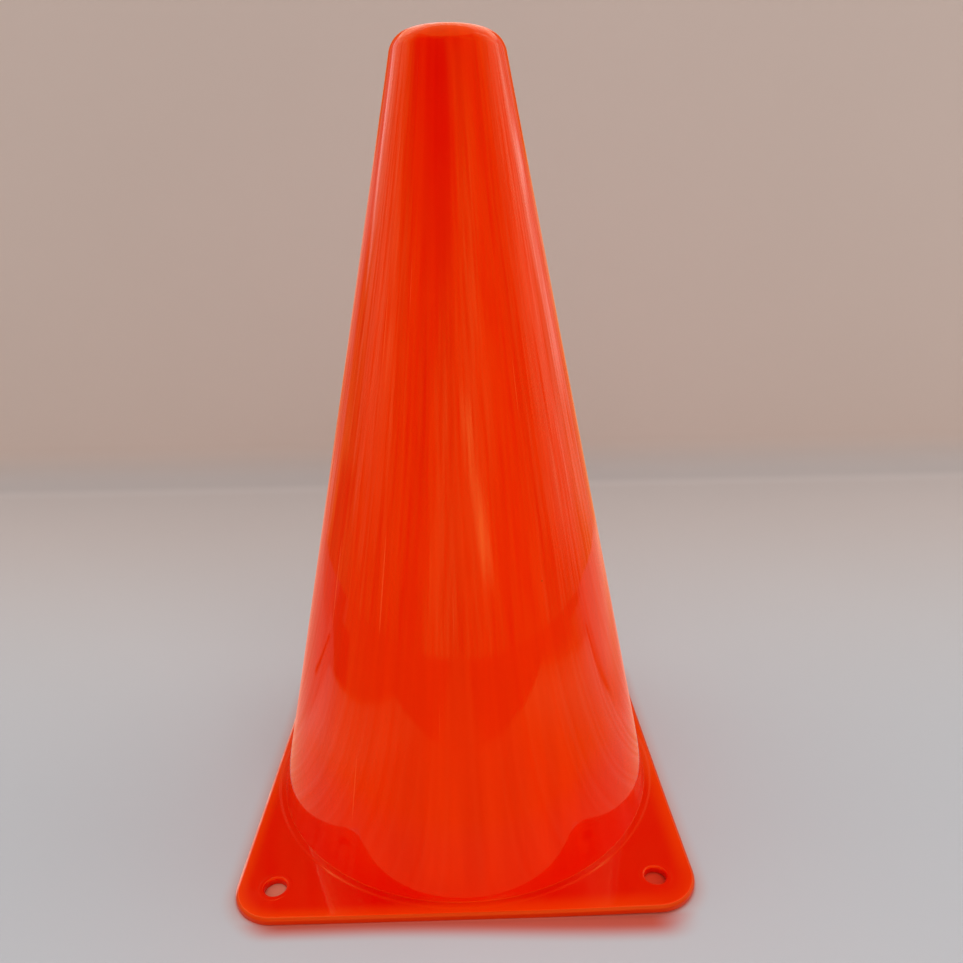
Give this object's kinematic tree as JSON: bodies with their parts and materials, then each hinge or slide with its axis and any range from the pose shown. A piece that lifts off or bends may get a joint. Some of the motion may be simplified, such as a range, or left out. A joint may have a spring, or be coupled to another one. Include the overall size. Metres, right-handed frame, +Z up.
{
  "type": "marker cone",
  "caption": "Hollow soft plastic marker cone with a closed rounded crown and a square base plate with a peg hole in each corner; it stands on the ground and stacks.",
  "frame": {"origin": "centre of the base plate's underside, on the ground", "axes": "+Z up along the cone's axis, X and Y parallel to the sides of the square plate; the picture looks roughly along +Y"},
  "size_m": [0.132, 0.132, 0.23],
  "materials": {
    "orange_plastic": "smooth glossy red-orange soft polyethylene, slightly translucent, with fine scuffs"
  },
  "bodies": {
    "root": {"crown": "orange_plastic", "cone_wall": "orange_plastic", "foot_fillet": "orange_plastic", "base_plate": "orange_plastic"}
  },
  "joints": []
}
